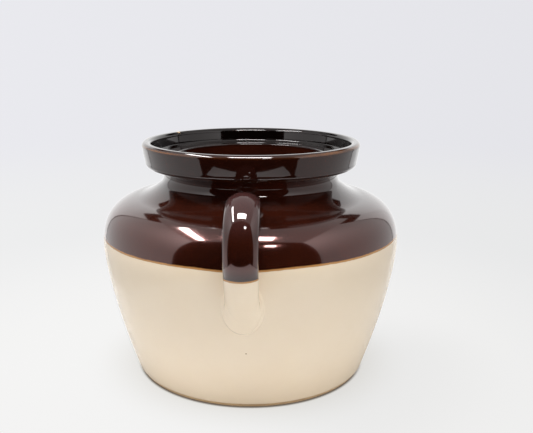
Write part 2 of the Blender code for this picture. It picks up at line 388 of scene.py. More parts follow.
def swept(line):
    """Grid of points, ring by ring, of the outline turned about Z."""
    angles = np.arange(TURNS) * math.tau / TURNS
    radius, height = np.array(line).T
    grid = np.empty((len(line), TURNS, 3))
    grid[..., 0] = np.outer(radius, np.cos(angles))
    grid[..., 1] = np.outer(radius, np.sin(angles))
    grid[..., 2] = height[:, None]
    return wobble(grid)


def grid_normals(grid):
    """Normals of a grid of rings that close on themselves."""
    steps = unit(np.diff(grid, axis=0))
    along = np.concatenate([steps[:1], steps[:-1] + steps[1:], steps[-1:]])
    around = np.roll(grid, -1, axis=1) - np.roll(grid, 1, axis=1)
    return unit(np.cross(along, around))


def new_piece(name, points, faces, corner_normals, slots, materials):
    """A mesh object with a material slot for each face and a normal for each face's corners."""
    mesh = bpy.data.meshes.new(name)
    mesh.from_pydata([tuple(p) for p in points], [], faces)
    for material in materials:
        mesh.materials.append(material)
    mesh.polygons.foreach_set("material_index", slots)
    mesh.shade_smooth()
    mesh.normals_split_custom_set(corner_normals)
    mesh.update()
    piece = bpy.data.objects.new(name, mesh)
    bpy.context.scene.collection.objects.link(piece)
    return piece


def turned_piece(name, runs, body, finishes):
    """A closed solid from runs of the body's rings, in order up the inside and down the outside. Where
    one run ends and the next begins, a hidden face of bare clay crosses the wall."""
    grid, normals, finish = body
    points = []
    ring_at = {}
    for first, last in runs:
        for ring in range(first, last + 1):
            on_axis = np.hypot(grid[ring, 0, 0], grid[ring, 0, 1]) < ON_AXIS
            count = 1 if on_axis else TURNS
            ring_at[ring] = range(len(points), len(points) + count)
            points.extend(grid[ring, :count])
    bands = [(ring, ring + 1, False) for first, last in runs for ring in range(first, last)]
    bands += [(runs[i - 1][1], runs[i][0], True) for i in range(len(runs))]
    kinds = list(finishes)
    faces, corners, slots = [], [], []
    for low, high, hidden in bands:
        if len(ring_at[low]) == 1 and len(ring_at[high]) == 1:
            continue
        for j in range(TURNS):
            k = (j + 1) % TURNS
            spots = [(low, k), (low, j), (high, j), (high, k)]
            if len(ring_at[low]) == 1:
                spots = [(low, 0), (high, j), (high, k)]
            elif len(ring_at[high]) == 1:
                spots = [(low, k), (low, j), (high, 0)]
            faces.append([ring_at[ring][turn] for ring, turn in spots])
            if hidden:
                a, b, c = (grid[ring, turn] for ring, turn in spots[:3])
                flat = unit(np.cross(b - a, c - b))
                corners.extend([flat] * len(spots))
                slots.append(kinds.index("clay"))
            else:
                corners.extend(axis_normal(ring, turn, grid, normals) for ring, turn in spots)
                slots.append(kinds.index(finish[low]))
    return new_piece(name, points, faces, corners, slots, list(finishes.values()))


def axis_normal(ring, turn, grid, normals):
    """A grid normal, which on the axis is straight up or down."""
    if np.hypot(grid[ring, turn, 0], grid[ring, turn, 1]) < ON_AXIS:
        return np.array((0.0, 0.0, 1.0 if grid[ring, turn, 2] > FLOOR_HEIGHT / 2 else -1.0))
    return normals[ring, turn]


# ---------------------------------------------------------------- handle


def handle_line():
    """Centre line of the handle as even points of (distance out from the axis, height)."""
    shift = TOP_RADIUS - FRONT_RADIUS
    across, up = FRONT_CENTRE
    top_centre = (across - shift * math.cos(LOOP_TURN), up - shift * math.sin(LOOP_TURN))
    run = []
    for centre, radius, first, last in (
        (top_centre, TOP_RADIUS, LOOP_START, LOOP_TURN),
        (FRONT_CENTRE, FRONT_RADIUS, LOOP_TURN, LOOP_END),
    ):
        for t in shares(HANDLE_STEPS):
            angle = first + (last - first) * t
            run.append((centre[0] + radius * math.cos(angle), centre[1] + radius * math.sin(angle)))
    start = np.array(run[-1])
    bend = start + LOWER_PULL * np.array((math.sin(LOOP_END), -math.cos(LOOP_END)))
    end = np.array(LOWER_END)
    for t in shares(HANDLE_STEPS)[1:]:
        run.append(tuple(start * (1 - t) ** 2 + bend * 2 * t * (1 - t) + end * t**2))
    run.append(tuple(end + LOWER_RUN_ON * unit(end - bend)))
    return np.array(even(run, HANDLE_SPACING))


def nearest_on(line, points):
    """For points of (radius, height): the nearest point on a line, the line's outward normal there and
    the distance outside it."""
    start, end = line[:-1], line[1:]
    span = end - start
    apart = points[:, None, :] - start[None]
    share = np.clip((apart * span).sum(-1) / (span**2).sum(-1), 0, 1)
    foot = start[None] + share[..., None] * span[None]
    distance = np.linalg.norm(points[:, None, :] - foot, axis=-1)
    best = distance.argmin(axis=1)
    rows = np.arange(len(points))
    outward = unit(np.stack([-span[:, 1], span[:, 0]], axis=-1))[best]
    near = foot[rows, best]
    outside = ((points - near) * outward).sum(-1)
    return near, outward, outside


def cylindrical(points):
    return np.stack([np.hypot(points[:, 0], points[:, 1]), points[:, 2]], axis=-1)


def onto_body(line, points, depth):
    """Points moved to a depth below the body's outside, and the body's normals there."""
    near, outward, _ = nearest_on(line, cylindrical(points))
    flat = unit(points * np.array((1.0, 1.0, 0.0)))
    up = np.array((0.0, 0.0, 1.0))
    spot = near - depth * outward
    moved = flat * spot[:, :1] + up * spot[:, 1:]
    return moved, flat * outward[:, :1] + up * outward[:, 1:]


def strap_strand(line, angle):
    """One long strand of the strap's surface: its points and its outward normals."""
    heading = unit(np.gradient(line, axis=0))
    facing = np.stack([-heading[:, 1], heading[:, 0]], axis=-1)
    if facing[len(line) // 3, 1] < 0:
        facing = -facing
    share = np.linspace(0.0, 1.0, len(line))
    half_width = HANDLE_HALF_WIDTH + (HANDLE_LOW_HALF_WIDTH - HANDLE_HALF_WIDTH) * share
    crown = math.copysign(abs(math.cos(angle)) ** HANDLE_CROWN, math.cos(angle))
    out = line + facing * HANDLE_HALF_THICKNESS * crown
    points = np.stack([half_width * math.sin(angle) + HANDLE_ASIDE, -out[:, 0], out[:, 1]], axis=-1)
    across = math.sin(angle) / HANDLE_HALF_WIDTH
    through = math.cos(angle) / HANDLE_HALF_THICKNESS
    normals = np.stack([np.full(len(line), across), -facing[:, 0] * through, facing[:, 1] * through], axis=-1)
    return points, unit(normals)


def at(points, where):
    """Points of a strand at fractional positions along it."""
    index = np.arange(len(points))
    return np.stack([np.interp(where, index, points[:, i]) for i in range(3)], axis=-1)


def crossing(outside, start, step):
    """Where a strand goes into the body, walking from start in steps of 1 or -1."""
    i = start
    while outside[i + step] > 0:
        i += step
    return i + step * outside[i] / (outside[i] - outside[i + step])


def reach(root, angle):
    """A root's fillet at one angle of the section: its reach along, its reach over and its edge's height."""
    outer, side, inner = (np.array(sizes) for sizes in root)
    turn = math.cos(angle)
    face = outer if turn > 0 else inner
    return side + (face - side) * abs(turn)


def fillet(points, normals, where, step, sizes, outline):
    """The curve of one strand's root, from the strap over its rounded edge to the body, and where on the
    strand it starts."""
    along, over, height = sizes
    spacing = np.linalg.norm(np.diff(points, axis=0), axis=1).mean()
    start = where - step * along / spacing
    corner = at(points, np.array([where]))[0]
    _, body_normal = onto_body(outline, corner[None], 0.0)
    sideways = at(normals, np.array([where]))[0]
    sideways = unit(sideways - body_normal[0] * (sideways @ body_normal[0]))
    knee, _ = onto_body(outline, corner[None], -height)
    brink, _ = onto_body(outline, (corner + sideways * over)[None], -height)
    begin = at(points, np.array([start]))[0]
    t = np.linspace(0.0, 1.0, ROOT_STEPS + 1)[1:, None]
    curve = begin * (1 - t) ** 2 + knee[0] * 2 * t * (1 - t) + brink[0] * t**2
    edge = []
    for i in range(1, EDGE_STEPS + 1):
        spot = corner + sideways * (over + EDGE_WIDTH * i / EDGE_STEPS)
        drop = (height + SUNK) * (1 - math.cos(math.pi * i / EDGE_STEPS)) / 2
        edge.append(onto_body(outline, spot[None], drop - height)[0][0])
    return np.concatenate([curve, edge]), start


def handle_grid(outline):
    """Rings of points of the handle, from its upper root to its lower one."""
    line = handle_line()
    strands = []
    for k in range(STRANDS):
        angle = math.tau * k / STRANDS
        points, normals = strap_strand(line, angle)
        _, _, outside = nearest_on(outline, cylindrical(points))
        middle = len(points) // 2
        top = crossing(outside, middle, -1)
        bottom = crossing(outside, middle, 1)
        upper, first = fillet(points, normals, top, -1, reach(UPPER_ROOT, angle), outline)
        lower, last = fillet(points, normals, bottom, 1, reach(LOWER_ROOT, angle), outline)
        strap = at(points, np.linspace(first, last, STRAND_POINTS))
        strands.append(np.concatenate([upper[::-1], strap, lower]))
    return np.stack(strands, axis=1)


def handle_piece(outline, materials):
    """The handle with both roots as one closed piece: its rings, then a cap hidden in the wall."""
    grid = handle_grid(outline)
    normals = grid_normals(grid)
    outward = unit(grid - grid.mean(axis=1, keepdims=True))
    if (normals * outward).sum() < 0:
        normals = -normals
    for ring in (0, -1):
        _, normals[ring] = onto_body(outline, grid[ring], 0.0)
    caps = [onto_body(outline, grid[ring], CAP_DEPTH)[0] for ring in (0, -1)]
    rings = np.concatenate([caps[0][None], grid, caps[1][None]])
    ring_normals = np.concatenate([normals[:1], normals, normals[-1:]])
    points = list(wobble(rings.reshape(-1, 3)))
    points += [wobble(cap.mean(axis=0)[None])[0] for cap in caps]
    corner_normals = list(ring_normals.reshape(-1, 3))
    corner_normals += [-normals[0].mean(axis=0), -normals[-1].mean(axis=0)]
    faces = []
    for i in range(len(rings) - 1):
        for j in range(STRANDS):
            k = (j + 1) % STRANDS
            faces.append((i * STRANDS + j, i * STRANDS + k, (i + 1) * STRANDS + k, (i + 1) * STRANDS + j))
    last = (len(rings) - 1) * STRANDS
    first_centre = len(rings) * STRANDS
    for j in range(STRANDS):
        k = (j + 1) % STRANDS
        faces.append((k, j, first_centre))
        faces.append((last + j, last + k, first_centre + 1))
    a, b, c = (points[i] for i in faces[len(faces) // 2][:3])
    if np.cross(b - a, c - b) @ corner_normals[faces[len(faces) // 2][0]] < 0:
        faces = [face[::-1] for face in faces]
    corners = [corner_normals[i] for face in faces for i in face]
    return new_piece("crock_handle", points, faces, corners, [0] * len(faces), materials)


# ---------------------------------------------------------------- material nodes


def add_node(tree, kind, inputs=None, **settings):
    """A node with its settings, and its inputs given as values or as other nodes' outputs."""
    node = tree.nodes.new("ShaderNode" + kind)
    for key, value in settings.items():
        setattr(node, key, value)
    for key, value in (inputs or {}).items():
        if isinstance(value, bpy.types.NodeSocket):
            tree.links.new(value, node.inputs[key])
        else:
            node.inputs[key].default_value = value
    return node


def maths(tree, operation, a, b=0.0):
    return add_node(tree, "Math", {0: a, 1: b}, operation=operation).outputs[0]


def times(tree, a, b):
    return maths(tree, "MULTIPLY", a, b)


def plus(tree, a, b):
    return maths(tree, "ADD", a, b)


def minus(tree, a, b):
    return maths(tree, "SUBTRACT", a, b)


def vectors(tree, operation, a, b=(0.0, 0.0, 0.0)):
    return add_node(tree, "VectorMath", {0: a, 1: b}, operation=operation)


def clamped(tree, value):
    return add_node(tree, "Clamp", {"Value": value}).outputs[0]


def ramp(tree, value, low, high):
    """0 below low, 1 above high and a smooth rise between."""
    inputs = {"Value": value, "From Min": low, "From Max": high}
    return add_node(tree, "MapRange", inputs, interpolation_type="SMOOTHSTEP").outputs[0]


def noise(tree, place, scale, detail=2.0, roughness=0.5):
    """Noise about 0, from about -0.5 to 0.5; scale is in features per metre."""
    inputs = {"Vector": place, "Scale": scale, "Detail": detail, "Roughness": roughness}
    return minus(tree, add_node(tree, "TexNoise", inputs).outputs[0], 0.5)


def blend_colours(tree, share, a, b):
    node = add_node(tree, "Mix", data_type="RGBA")
    for socket, value in ((0, share), (6, a), (7, b)):
        if isinstance(value, bpy.types.NodeSocket):
            tree.links.new(value, node.inputs[socket])
        else:
            node.inputs[socket].default_value = value
    return node.outputs[2]


def blend_values(tree, share, a, b):
    return add_node(tree, "MapRange", {"Value": share, "To Min": a, "To Max": b}).outputs[0]


def new_material(name):
    """An empty material, with the place on the object as a vector and as its x, y and z."""
    material = bpy.data.materials.new(name)
    material.use_nodes = True
    tree = material.node_tree
    tree.nodes.clear()
    place = add_node(tree, "TexCoord").outputs["Object"]
    split = add_node(tree, "SeparateXYZ", {0: place})
    return material, tree, place, split.outputs


def finish_material(tree, colour, roughness, ior, height, haze=0.0):
    """Joins a surface with its colour, roughness and relief, in metres of height, to the output. Haze is
    the share of a soft red gleam from inside the glaze, under its clear skin."""
    bump = add_node(tree, "Bump", {"Height": height, "Strength": 1.0, "Distance": 1.0})
    inputs = {
        "Base Color": colour,
        "Roughness": HAZE_ROUGHNESS,
        "IOR": HAZE_IOR,
        "Specular IOR Level": haze,
        "Specular Tint": HAZE_TINT,
        "Coat Weight": 1.0,
        "Coat Roughness": roughness,
        "Coat IOR": ior,
        "Normal": bump.outputs[0],
        "Coat Normal": bump.outputs[0],
    }
    surface = add_node(tree, "BsdfPrincipled", inputs)
    add_node(tree, "OutputMaterial", {"Surface": surface.outputs[0]})


# ---------------------------------------------------------------- glazes

BROWN = (0.026, 0.0050, 0.0022, 1.0)
BROWN_DARK = (0.014, 0.0032, 0.0018, 1.0)
# Painted shade: near-black laid on the collar's inner wall and, at half strength, on its outside
BROWN_SHADE_BLACK = (0.0016, 0.0007, 0.0005, 1.0)
BROWN_THIN = (0.20, 0.075, 0.020, 1.0)
# Painted sheen: a lighter mauve for the top of the handle
MAUVE_SHEEN = (0.034, 0.013, 0.012, 1.0)
OCHRE = (0.42, 0.205, 0.068, 1.0)
CREAM = (0.73, 0.615, 0.47, 1.0)
CREAM_WARM = (0.70, 0.575, 0.42, 1.0)
CLAY = (0.52, 0.36, 0.20, 1.0)
CLAY_DARK = (0.42, 0.27, 0.14, 1.0)
# Painted shade: near-black that stands for the shade inside a pit
PIT_SHADE = (0.012, 0.008, 0.006, 1.0)
SPECK = (0.22, 0.13, 0.07, 1.0)
BROWN_ROUGHNESS = 0.045
CREAM_ROUGHNESS = 0.16
GLAZE_IOR = 1.62
CLAY_ROUGHNESS = 0.75
CLAY_IOR = 1.5

# The soft red gleam from inside the brown glaze: its nature, and its share at four places
HAZE_ROUGHNESS = 0.15
HAZE_IOR = 1.7
HAZE_TINT = (1.0, 0.46, 0.42, 1.0)
HAZE_NECK = 0.05
HAZE_SHOULDER = 0.57
HAZE_COLLAR = 0.06
HAZE_INSIDE = 0.6

# Height of the glazes' fine ripples and broad swells, and of the clay's sand
BROWN_RIPPLE = 0.018 * MM
BROWN_SWELL = 0.07 * MM
CREAM_RIPPLE = 0.05 * MM
CREAM_SWELL = 0.14 * MM
CLAY_SAND = 0.12 * MM

# Where the glaze is thin on the collar: in from the lip's outer edge, down from its top and up from the
# collar's lower edge, with a soft edge; and how much ochre shows in the middle, at the sides and below
THIN_IN = 1.0 * MM
THIN_DOWN = 2.4 * MM
THIN_UP = 1.4 * MM
THIN_EDGE = 0.8 * MM
THIN_MIDDLE = 0.12
THIN_SIDES = 0.72
THIN_BELOW = 0.35

# Soft edges between two looks, each from where the second look starts to where it is complete: the
# line between the glazes and its step, the band's top, the warm cream, the painted mauve sheen on the
# handle's crest, the gleam of the shoulder, the handle's foot without it, and the collar's two sides
GLAZED_FROM = (-0.1 * MM, 0.15 * MM)
STEP_FROM = (-0.5 * MM, 0.6 * MM)
BROWN_FROM = (-0.35 * MM, 0.45 * MM)
WARM_HEIGHTS = (40.0 * MM, 0.0)
SHEEN_CREST_HEIGHTS = (118.0 * MM, 138.0 * MM)
SHEEN_CREST_OUT = (-80.0 * MM, -92.0 * MM)
GLEAM_HEIGHTS = (124.0 * MM, 112.0 * MM)
HANDLE_FOOT_OUT = (-105.0 * MM, -112.0 * MM)
HANDLE_FOOT_HEIGHTS = (108.0 * MM, 98.0 * MM)
COLLAR_SIDES = (22.0 * MM, 50.0 * MM)

# Small flaws, each a place on the surface, a size and a colour
COLLAR_FLAWS = (
    ((-56.5 * MM, 42.1 * MM, 159.2 * MM), 1.6 * MM, CLAY),
    ((-72.6 * MM, 2.5 * MM, 159.0 * MM), 1.1 * MM, CLAY),
)
OUTSIDE_FLAWS = (
    # A pit that is not cut into the surface: its near-black is painted shade of the hole
    ((-78.4 * MM, 6.6 * MM, 121.7 * MM), 1.5 * MM, PIT_SHADE),
    ((1.6 * MM, -93.9 * MM, 42.6 * MM), 0.5 * MM, SPECK),
    ((-2.9 * MM, -81.5 * MM, 1.8 * MM), 1.3 * MM, CLAY),
)


def flawed(tree, place, colour, flaws):
    """The colour with small ragged patches where the glaze is chipped or pitted."""
    ragged = noise(tree, place, 700.0, 2.0)
    for centre, size, patch in flaws:
        apart = vectors(tree, "DISTANCE", place, centre).outputs["Value"]
        edge = plus(tree, apart, times(tree, ragged, size))
        colour = blend_colours(tree, ramp(tree, edge, size, 0.7 * size), colour, patch)
    return colour


def brown_glaze(tree, place):
    """Colour and relief of the brown glaze: cloudy, with faint runs down the wall."""
    stretched = add_node(tree, "Mapping", {"Vector": place, "Scale": (1.0, 1.0, 0.25)}).outputs[0]
    clouds = noise(tree, place, 22.0, 4.0, 0.6)
    runs = noise(tree, stretched, 130.0, 3.0, 0.55)
    specks = noise(tree, place, 900.0, 1.0)
    depth = plus(tree, times(tree, clouds, 1.5), times(tree, runs, 0.7))
    depth = plus(tree, depth, times(tree, specks, 0.15))
    colour = blend_colours(tree, ramp(tree, depth, -0.55, 0.5), BROWN_DARK, BROWN)
    ripple = times(tree, noise(tree, place, 95.0, 2.0), BROWN_RIPPLE)
    swells = times(tree, noise(tree, place, 28.0, 1.0), BROWN_SWELL)
    return colour, plus(tree, ripple, swells)


def cream_glaze(tree, place, z):
    """Colour and relief of the cream glaze: even, a little warmer towards the foot, with rare specks."""
    clouds = noise(tree, place, 30.0, 3.0, 0.6)
    low = ramp(tree, z, *WARM_HEIGHTS)
    share = plus(tree, times(tree, clouds, 0.9), times(tree, low, 0.45))
    colour = blend_colours(tree, ramp(tree, share, -0.3, 0.7), CREAM, CREAM_WARM)
    dots = noise(tree, place, 300.0, 0.0)
    colour = blend_colours(tree, ramp(tree, dots, 0.40, 0.43), colour, SPECK)
    ripple = times(tree, noise(tree, place, 90.0, 2.0), CREAM_RIPPLE)
    swells = times(tree, noise(tree, place, 25.0, 1.0), CREAM_SWELL)
    return colour, plus(tree, ripple, swells)


def above_line(tree, place, x, y, z):
    """Height above the line to which the crock was dipped in the brown glaze."""
    slow = times(tree, noise(tree, place, 13.0, 1.0), LINE_WANDER)
    ragged = times(tree, noise(tree, place, 240.0, 2.0), LINE_RAGGED)
    line = plus(tree, SEAM_HEIGHT, times(tree, x, LINE_TILT))
    beside = ramp(tree, maths(tree, "ABSOLUTE", x), LINE_SAG_WIDTH, 0.0)
    front = ramp(tree, y, 0.0, -BELLY_RADIUS / 2)
    sag = times(tree, times(tree, beside, front), LINE_SAG)
    line = minus(tree, line, sag)
    line = plus(tree, line, plus(tree, slow, ragged))
    return minus(tree, z, line)


def outside_haze(tree, y, z):
    """Share of the red gleam: more on the shoulder than on the neck, and none at the handle's foot."""
    share = blend_values(tree, ramp(tree, z, *GLEAM_HEIGHTS), HAZE_NECK, HAZE_SHOULDER)
    on_handle = ramp(tree, y, *HANDLE_FOOT_OUT)
    handle_foot = times(tree, on_handle, ramp(tree, z, *HANDLE_FOOT_HEIGHTS))
    return times(tree, share, minus(tree, 1.0, handle_foot))


def two_glazes():
    """The outside: brown above cream, with a band of ochre where the brown runs thin at their line, and a
    painted mauve sheen on the handle's crest.
    """
    material, tree, place, (x, y, z) = new_material("brown over cream glaze")
    brown, brown_relief = brown_glaze(tree, place)
    cream, cream_relief = cream_glaze(tree, place, z)
    above = above_line(tree, place, x, y, z)
    wavy = times(tree, noise(tree, place, 60.0, 2.0), BAND_WAVE)
    band_top = minus(tree, plus(tree, above, wavy), BAND)
    is_brown = ramp(tree, band_top, *BROWN_FROM)
    is_glazed = ramp(tree, above, *GLAZED_FROM)
    # Painted sheen: the handle's crest is made a lighter mauve where it faces the lamps
    painted_sheen_on_crest = times(tree, ramp(tree, z, *SHEEN_CREST_HEIGHTS), ramp(tree, y, *SHEEN_CREST_OUT))
    brown = blend_colours(tree, painted_sheen_on_crest, brown, MAUVE_SHEEN)
    colour = blend_colours(tree, is_brown, OCHRE, brown)
    colour = flawed(tree, place, blend_colours(tree, is_glazed, cream, colour), OUTSIDE_FLAWS)
    roughness = blend_values(tree, is_glazed, CREAM_ROUGHNESS, BROWN_ROUGHNESS)
    haze = times(tree, times(tree, is_glazed, is_brown), outside_haze(tree, y, z))
    step = times(tree, ramp(tree, above, *STEP_FROM), LINE_STEP)
    relief = plus(tree, step, blend_values(tree, is_glazed, cream_relief, brown_relief))
    finish_material(tree, colour, roughness, GLAZE_IOR, relief, haze)
    return material


def thin_on_collar(tree, place, x, z, radius):
    """Share of ochre: patches on the lip's outer edge, most at the two sides, and on the lower edge."""
    patchy = plus(tree, times(tree, noise(tree, place, 26.0, 3.0, 0.6), 2.2), 0.6)
    aside = ramp(tree, maths(tree, "ABSOLUTE", x), *COLLAR_SIDES)
    edge = ramp(tree, radius, RIM_RADIUS - THIN_IN, RIM_RADIUS - THIN_IN / 2)
    edge = times(tree, edge, blend_values(tree, aside, THIN_MIDDLE, THIN_SIDES))
    under_lip = RIM_HEIGHT - THIN_DOWN
    on_lip = times(tree, edge, ramp(tree, z, under_lip, under_lip + THIN_EDGE))
    low = ramp(tree, z, COLLAR_HEIGHT + THIN_UP, COLLAR_HEIGHT + THIN_UP - THIN_EDGE)
    low = times(tree, low, ramp(tree, radius, COLLAR_FOOT_RADIUS - 2 * MM, COLLAR_FOOT_RADIUS - MM))
    thin = plus(tree, on_lip, times(tree, low, THIN_BELOW))
    return clamped(tree, times(tree, thin, patchy))


def painted_shade_on_collar(tree, z, radius):
    """Share of painted near-black shade: half of it outside, all of it on the inner wall above the ledge,
    where shade falls.
    """
    wall = RIM_RADIUS - COLLAR_WALL
    inner = ramp(tree, radius, wall + 2.5 * MM, wall + 1.0 * MM)
    inner = times(tree, inner, ramp(tree, z, COLLAR_HEIGHT + 4 * MM, SEAT_HEIGHT + MM))
    outer = minus(tree, 1.0, ramp(tree, radius, RIM_RADIUS - 3.5 * MM, RIM_RADIUS - 5.0 * MM))
    return plus(tree, inner, times(tree, outer, 0.5))


def collar_glaze():
    """Brown glaze with painted near-black shade, darker than elsewhere, that shows ochre where it runs thin
    on the collar's edges.
    """
    material, tree, place, (x, _, z) = new_material("brown glaze thin on the lip")
    brown, relief = brown_glaze(tree, place)
    level = vectors(tree, "MULTIPLY", place, (1.0, 1.0, 0.0)).outputs[0]
    radius = vectors(tree, "LENGTH", level).outputs["Value"]
    # Painted shade: near-black on the inner wall above the ledge and half of it on the outside
    brown = blend_colours(tree, painted_shade_on_collar(tree, z, radius), brown, BROWN_SHADE_BLACK)
    colour = blend_colours(tree, thin_on_collar(tree, place, x, z, radius), brown, BROWN_THIN)
    colour = flawed(tree, place, colour, COLLAR_FLAWS)
    finish_material(tree, colour, BROWN_ROUGHNESS, GLAZE_IOR, relief, HAZE_COLLAR)
    return material


def inside_glaze():
    """Brown glaze of the inside and of the hollow under the foot."""
    material, tree, place, _ = new_material("brown glaze inside")
    brown, relief = brown_glaze(tree, place)
    finish_material(tree, brown, BROWN_ROUGHNESS, GLAZE_IOR, relief, HAZE_INSIDE)
    return material


def bare_clay():
    """Unglazed stoneware: tan, sandy and rough."""
    material, tree, place, _ = new_material("bare clay")
    sand = noise(tree, place, 1500.0, 3.0, 0.7)
    clouds = noise(tree, place, 60.0, 3.0, 0.6)
    share = ramp(tree, plus(tree, sand, clouds), -0.35, 0.35)
    colour = blend_colours(tree, share, CLAY_DARK, CLAY)
    finish_material(tree, colour, CLAY_ROUGHNESS, CLAY_IOR, times(tree, sand, CLAY_SAND))
    return material


# ---------------------------------------------------------------- the crock


def dress(piece, slot, *nodes):
    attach(piece, "root")
    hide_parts(*nodes)


def build_crock():
    line, spans, finish = whole_outline()
    grid = swept(line)
    body = (grid, grid_normals(grid), finish)
    outside, inside, clay, rim = two_glazes(), inside_glaze(), bare_clay(), collar_glaze()
    finishes = {"outside": outside, "inside": inside, "clay": clay, "collar": rim}

    def run(first, last=None):
        return (spans[first][0], spans[last or first][1])

    bowl_runs = [run("bowl_inside"), run("bowl_outside", "foot_hollow")]
    bowl = turned_piece("crock_bowl", bowl_runs, body, finishes)
    dress(bowl, "cream_glaze", "lower_bowl")
    dome = turned_piece("crock_shoulder", [run("shoulder_inside"), run("shoulder_outside")], body, finishes)
    dress(dome, "brown_glaze", "shoulder")
    throat = turned_piece("crock_neck", [run("neck_inside"), run("neck_outside")], body, finishes)
    dress(throat, "brown_glaze", "neck")
    collar = turned_piece("crock_collar", [run("collar")], body, finishes)
    dress(collar, "brown_glaze", "collar")

    outline = np.array([line[i] for i in range(spans["neck_outside"][0], spans["bowl_outside"][1] + 1)])
    handle = handle_piece(outline, [outside])
    dress(handle, "brown_glaze", "handle", "handle_upper_root", "handle_lower_root")


# ---------------------------------------------------------------- stage: floor, light tent and camera

# Light tent: half its width, its height, the two ends of its floor, where its side walls end, and the
# start and the top of the pale sweep behind them
TENT = 0.20
TENT_HEIGHT = 0.35
TENT_FRONT = -0.31
TENT_BACK = 0.20
WALL_END = 0.09
SWEEP_START = 0.097
SWEEP_TOP = 0.285

# Lamps: their spans along X and along Y
LAMP_RADIANCE = 34.0
LAMPS_LEFT = ((-0.163, -0.135), (-0.178, 0.012))
LAMPS_FRONT = ((-0.062, 0.070), (-0.172, -0.120))
LAMP_OUTSIDE = ((0.068, 0.110), (-0.285, -0.256))

# Glow of the tent's fabric. A wall's rise is the glow that it rises to, the two heights between which
# it rises, and the two places along Y between which it rises towards the front
CEILING_GLOW = 0.5
LEFT_GLOW = 0.68
LEFT_RISE = (1.6, 0.14, 0.33, 0.05, -0.2)
RIGHT_GLOW = 0.55
RIGHT_RISE = (1.25, 0.12, 0.30, 0.09, -0.2)
SWEEP_LEFT_GLOW = 1.0
SWEEP_RIGHT_GLOW = 0.9

# Floor and room: colours, and how much painted shade darkens them towards +X and, as a painted shadow, behind
# the crock on its right
PALE = (0.799, 0.800, 0.838)
FLOOR_NEAR = (0.893, 0.890, 0.884, 1.0)
FLOOR_MIDDLE = (0.830, 0.833, 0.838, 1.0)
FLOOR_SHADE = (0.72, 0.70, 0.66, 1.0)
FLOOR_CONTACT_SHADOW = (0.16, 0.13, 0.10, 1.0)
FLOOR_WHITE = (0.85, 0.85, 0.85, 1.0)
SIDE_SHADE = 0.06
BEHIND_SHADE = 0.06

# How far from the crock the floor turns from one colour to the next, how far the crock's painted soft
# shade and its painted dark line of contact shadow reach, and the floor's level and reach, with the
# tent's floor just under it
MIDDLE_FROM = (0.12, 0.42)
ROOM_FROM = (0.40, 1.3)
SHADE_REACH = 60.0 * MM
CONTACT_SHADOW_REACH = 2.8 * MM
FLOOR_LEVEL = -0.3 * MM
TENT_FLOOR_LEVEL = -0.6 * MM
FLOOR_REACH = 30.0

# Large soft lights that face the crock: place along X and Y, turn about +Z in degrees, and power
FILLS = (
    ("fill_front", 0.1, -0.85, 7, 2.1),
    ("fill_left", -0.75, -0.45, -59, 1.0),
    ("fill_right", 0.75, -0.45, 59, 2.7),
)
FILL_HEIGHT = 0.12
FILL_SIZE = (0.9, 0.4)
FILL_TILT = math.radians(88)

# Camera: how far off and how high, its angle about +Z, how far it looks down, and its lens
CAMERA_DISTANCE = 0.4781
CAMERA_HEIGHT = 0.2224
CAMERA_AROUND = math.radians(2.6)
CAMERA_DOWN = math.radians(13.85)
SENSOR = 36.0
LENS = 46.77
SHIFT = 0.0301


def stage_piece(name, corners, material):
    """A four-cornered card of the stage, which the camera doesn't see and which casts no shadow."""
    mesh = bpy.data.meshes.new(name)
    mesh.from_pydata(corners, [], [(0, 1, 2, 3)])
    mesh.materials.append(material)
    card = bpy.data.objects.new(name, mesh)
    bpy.context.scene.collection.objects.link(card)
    card.visible_camera = False
    card.visible_shadow = False
    return card


def light_material(name, radiance, rise=None):
    """An even white light, or one that rises to another radiance upwards and along Y."""
    material, tree, _, (_, y, z) = new_material(name)
    strength = radiance
    if rise:
        brighter, low, high, back, front = rise
        share = times(tree, ramp(tree, z, low, high), ramp(tree, y, back, front))
        strength = blend_values(tree, share, radiance, brighter)
    light = add_node(tree, "Emission", {"Color": (1.0, 1.0, 1.0, 1.0), "Strength": strength})
    add_node(tree, "OutputMaterial", {"Surface": light.outputs[0]})
    return material


def flat_card(name, x, y, height, material):
    corners = [(x[0], y[0], height), (x[1], y[0], height), (x[1], y[1], height), (x[0], y[1], height)]
    return stage_piece(name, corners, material)


def side_card(name, x, y, z, material):
    corners = [(x, y[0], z[0]), (x, y[1], z[0]), (x, y[1], z[1]), (x, y[0], z[1])]
    return stage_piece(name, corners, material)


